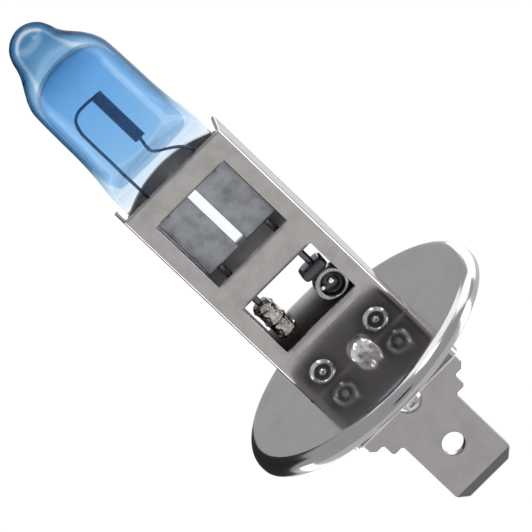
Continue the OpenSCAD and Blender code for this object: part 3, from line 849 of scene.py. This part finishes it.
def crimped_sleeve(name, box):
    """A barrel of radius r(z) with ridges where the crimps pushed it out, roughened by sines of angle and
    height."""
    (x0, _, z0), (x1, _, z1) = box
    r0 = 0.95 * mm
    z = np.linspace(0, 1, 70)[:, None]
    a = np.linspace(0, 2 * np.pi, 56, endpoint=False)[None]
    ridge = sum(np.exp(-((z - m) / 0.045) ** 2) for m in (0.13, 0.5, 0.87))
    rough = 0.035 * np.sin(5 * a + 9 * z) * np.sin(23 * z + 2 * a) + 0.02 * np.sin(11 * a - 17 * z)
    r = r0 * (0.93 + 0.14 * ridge + rough) * (1 - 0.5 * (2 * z - 1) ** 24)
    grid = np.stack([(x0 + x1) / 2 + r * np.cos(a), r * np.sin(a), z0 + (z1 - z0) * z * np.ones_like(a)], -1)
    ends = [np.broadcast_to(np.array([(x0 + x1) / 2, 0, e]), grid[:1].shape) for e in (z0, z1)]
    return grid_mesh(name, np.concatenate([ends[0], grid, ends[1]]))


burnt_metal = metal("burnt_nickel", (0.5, 0.47, 0.43), (0.09, 0.07, 0.06),
                    amount=0.9, rough=0.22, spread=0.2, stretch=(1, 1, 1), cloud=1300, wave=1.5, depth=0.00012)
sleeve = crimped_sleeve("ground_sleeve_crimp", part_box("ground_sleeve"))
mount_piece(sleeve, burnt_metal, "lead_wire", "ground_sleeve")

# ---------------------------------------------------------------- feed eyelet, bead and plug
# The live wire passes a dark glass bead into a nickel eyelet, which is plugged
# with the same dark glass so that nothing touches the clamp.


def dark_glass():
    """Black glass: an opaque dark body under a clear gloss, faintly mottled."""
    made = fresh_material("dark_bead_glass", {"Coat Weight": 0.6, "Coat Roughness": 0.05})
    tree = made.node_tree
    cloud = noise(tree, object_space(tree), 1400)
    feed(tree, "Base Color", ramp(tree, cloud, [(0, (0.006, 0.006, 0.007)), (1, (0.035, 0.034, 0.036))]))
    feed(tree, "Roughness", ranged(tree, cloud, 0, 1, 0.1, 0.3, "LINEAR"))
    return made


bead_glass = dark_glass()
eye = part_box("feed_eyelet")
eye_c = [(eye[0][k] + eye[1][k]) / 2 for k in range(3)]
eye_r, eye_h = (eye[1][0] - eye[0][0]) / 2, (eye[1][1] - eye[0][1]) / 2
quarter = np.array([(0.7, 0.93), (0.78, 1.0), (0.9, 0.98), (0.98, 0.86), (1.0, 0.6)])
ring_knots = np.vstack([[(0.66, -0.7), (0.66, 0.7)], quarter, quarter[::-1] * (1, -1), [(0.66, -0.7)]])
section = smooth_run(ring_knots, 90)[:-1] * (eye_r, eye_h)
angles = np.linspace(0, 2 * np.pi, 56, endpoint=False)
ring_grid = np.stack([section[:, :1] * np.cos(angles) + eye_c[0], section[:, 1:] * np.ones(56) + eye_c[1],
                      section[:, :1] * np.sin(angles) + eye_c[2]], -1)
eyelet = grid_mesh("feed_eyelet_ring", ring_grid, close_rows=True)
dot_profile = lathe_profile([(0, -0.9), (0.5, -0.82), (0.85, -0.5), (1.0, 0), (1.0, 0.3), (0, 0.3)], 30) * mm
dots = []
for dot_x, dot_z, dot_r in ((0.12, 0.3, 0.34), (-0.8, 0.3, 0.24)):
    centre = (eye_c[0] + dot_x * mm, -0.5 * mm, eye_c[2] + dot_z * mm)
    dots.append(turned("dot", dot_profile * dot_r, centre, "y", 28))
solder = metal("solder", (0.9, 0.9, 0.88), (0.5, 0.5, 0.5),
               amount=0.4, rough=0.2, spread=0.1, stretch=(1, 1, 1), cloud=900, wave=0.5)
mount_piece(eyelet, outer_metal, "lead_wire", "feed_eyelet")
mount_piece(joined("solder_dots", dots), solder, "lead_wire", "feed_eyelet")
plug = lathe_profile([(0, -0.5), (0.3, -0.48), (0.6, -0.38), (0.9, -0.22), (1.0, -0.1), (1.0, 0.1), (0.9, 0.22),
                      (0.6, 0.38), (0.3, 0.48), (0, 0.5)], 50) * mm
mount_piece(turned("eyelet_glass_plug", plug, eye_c, "y"), bead_glass, "bead_ceramic", "eyelet_plug")
(x0, y0, z0), (x1, y1, z1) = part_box("feed_bead")
x0 -= 0.4 * mm
middle_x, half_x, half_y = (x0 + x1) / 2, (x1 - x0) / 2, (y1 - y0) / 2
bead_angles = np.linspace(0, 2 * np.pi, 48, endpoint=False)
bead_rows = []
for k in np.linspace(0, 1, 16):
    swell = 1 - 0.35 * abs(2 * k - 1) ** 5
    outline = rounded_slot(half_x * swell, half_y * swell, 0.35 * mm, bead_angles)
    bead_rows.append(np.column_stack([outline + (middle_x, 0), np.full(48, z0 + (z1 - z0) * k)]))
bead_grid = closed_ends(np.array(bead_rows))
mount_piece(grid_mesh("feed_glass_bead", bead_grid), bead_glass, "bead_ceramic", "feed_bead")

# ---------------------------------------------------------------- link strap
# A bent nickel strip, welded to the eyelet and to the blade's root, that carries
# the current from one to the other.
(x0, y0, z0), (x1, y1, z1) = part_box("link_strap")
strap = pressed_plate("nickel_link_strap", box_loop(x0, x1, z0, z1, 0.15 * mm), [], "y", y0, y1, 0.05 * mm)
mount_piece(strap, outer_metal, "lead_wire", "link_strap")

# ---------------------------------------------------------------- ceramic base
# The moulded ceramic block behind the flange that holds the blade, a thin mica
# sheet over it, and the steel collar crimped round both.


def fired_ceramic(name, pale, dirty, scale):
    """Matt ceramic or mica: a pale body with soft dirty clouds, fine pores for height, and dull gloss."""
    made = fresh_material(name, {})
    tree = made.node_tree
    where = object_space(tree)
    cloud = noise(tree, where, scale, 6)
    feed(tree, "Base Color", ramp(tree, cloud, [(0.35, dirty), (0.6, pale)]))
    feed(tree, "Roughness", ranged(tree, cloud, 0, 1, 0.45, 0.75, "LINEAR"))
    pores = put(tree, "ShaderNodeTexVoronoi", {"Vector": where, "Scale": 5200})
    bend_normal(tree, pores.outputs["Distance"], 0.00003, 0.7)
    return made


def rounded_block(name, box, radius, edge):
    """A prism along Z on a rectangle with quarter-circle corners, its end edges rounded by edge."""
    (x0, y0, z0), (x1, y1, z1) = box
    return pressed_plate(name, box_loop(x0, x1, y0, y1, radius, 9), [], "z", z0, z1, edge)


insulator = rounded_block("ceramic_block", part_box("insulator"), 0.4 * mm, 0.2 * mm)
steatite = fired_ceramic("fired_ceramic", (0.62, 0.585, 0.53), (0.45, 0.42, 0.38), 500)
mount_piece(insulator, steatite, "insulator_ceramic", "insulator")
washer = rounded_block("mica_sheet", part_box("insulating_washer"), 0.3 * mm, 0.08 * mm)
mica = fired_ceramic("mica", (0.42, 0.35, 0.24), (0.3, 0.25, 0.17), 900)
mount_piece(washer, mica, "mica", "insulating_washer")

(x0, y0, z0), (x1, y1, z1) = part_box("collar")
sheet_t = 0.4 * mm
outside = box_loop(x0, x1, y0, y1, 0.8 * mm, 9)
inside = box_loop(x0 + sheet_t, x1 - sheet_t, y0 + sheet_t, y1 - sheet_t, 0.4 * mm, 9)
collar = pressed_plate("steel_collar", outside, [inside], "z", z0, z1, edge=0.12 * mm)
mount_piece(collar, flange_steel, "flange_steel", "collar")

# ---------------------------------------------------------------- terminal blade
# The 6.3 mm tab: stamped from plated brass sheet, stepped down from its root in
# the ceramic, with a latch hole. Its end is bevelled: y shrinks evenly below slope_z.
blade_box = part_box("terminal_blade")
end = blade_box[0][2]
root, step, tab = 5.4 * mm, 4.2 * mm, 3.15 * mm
block_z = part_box("insulator")[0][2]
barb_z, ledge_z, root_z = block_z - 3.0 * mm, block_z - 1.7 * mm, block_z + 1.2 * mm
half_side = np.array([
    (0.0, end), (tab - 0.9 * mm, end), (tab - 0.12 * mm, end + 0.75 * mm), (tab, end + 1.0 * mm),
    (tab, barb_z - 0.2 * mm), (tab + 0.12 * mm, barb_z), (step - 0.2 * mm, barb_z), (step, barb_z + 0.2 * mm),
    (step, ledge_z - 0.15 * mm), (step + 0.15 * mm, ledge_z), (root - 0.45 * mm, ledge_z),
    (root, ledge_z + 0.45 * mm), (root, root_z), (0.0, root_z)])
blade_outline = np.concatenate([half_side[1:-1], (half_side * np.array([-1, 1]))[1:-1][::-1]])
latch_hole = disc_loop(0, end + 4.6 * mm, 1.0 * mm, 56)
blade = pressed_plate("terminal_tab", blade_outline, [latch_hole], "y", blade_box[0][1], blade_box[1][1],
                      edge=0.1 * mm)
work = bmesh.new()
work.from_mesh(blade.data)
slope = 0.9 * mm
slope_z = end + slope
everything = work.verts[:] + work.edges[:] + work.faces[:]
bmesh.ops.bisect_plane(work, geom=everything, dist=1e-7, plane_co=(0, 0, slope_z), plane_no=(0, 0, 1))
work.to_mesh(blade.data)
work.free()
spots = np.empty(len(blade.data.vertices) * 3)
blade.data.vertices.foreach_get("co", spots)
spots = spots.reshape(-1, 3)
spots[:, 1] *= 1 - 0.5 * np.clip((slope_z - spots[:, 2]) / slope, 0, 1)
blade.data.vertices.foreach_set("co", spots.ravel())
blade.data.update()
plated = metal("plated_blade", (0.33, 0.31, 0.3), (0.25, 0.235, 0.225),
               amount=0.4, rough=0.2, spread=0.07, stretch=(1, 1, 0.06), cloud=380)
mount_piece(blade, plated, "tin_plate", "terminal_blade")

# ---------------------------------------------------------------- terminal rivet
# A bright round-headed steel rivet, set through the blade's root to hold it in
# the ceramic.
rivet_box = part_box("terminal_rivet")
head_z = (rivet_box[0][2] + rivet_box[1][2]) / 2
head = lathe_profile([(0, 0.62), (0.4, 0.57), (0.75, 0.42), (1.0, 0.2), (1.16, 0.02), (1.18, -0.08),
                      (1.1, -0.15), (0, -0.15)], 44) * mm
heads = [turned("head", head * (1, face), (0, face * 0.42 * mm, head_z), "y") for face in (-1, 1)]
mount_piece(joined("terminal_rivet_heads", heads), weld_metal, "weld_steel", "terminal_rivet")
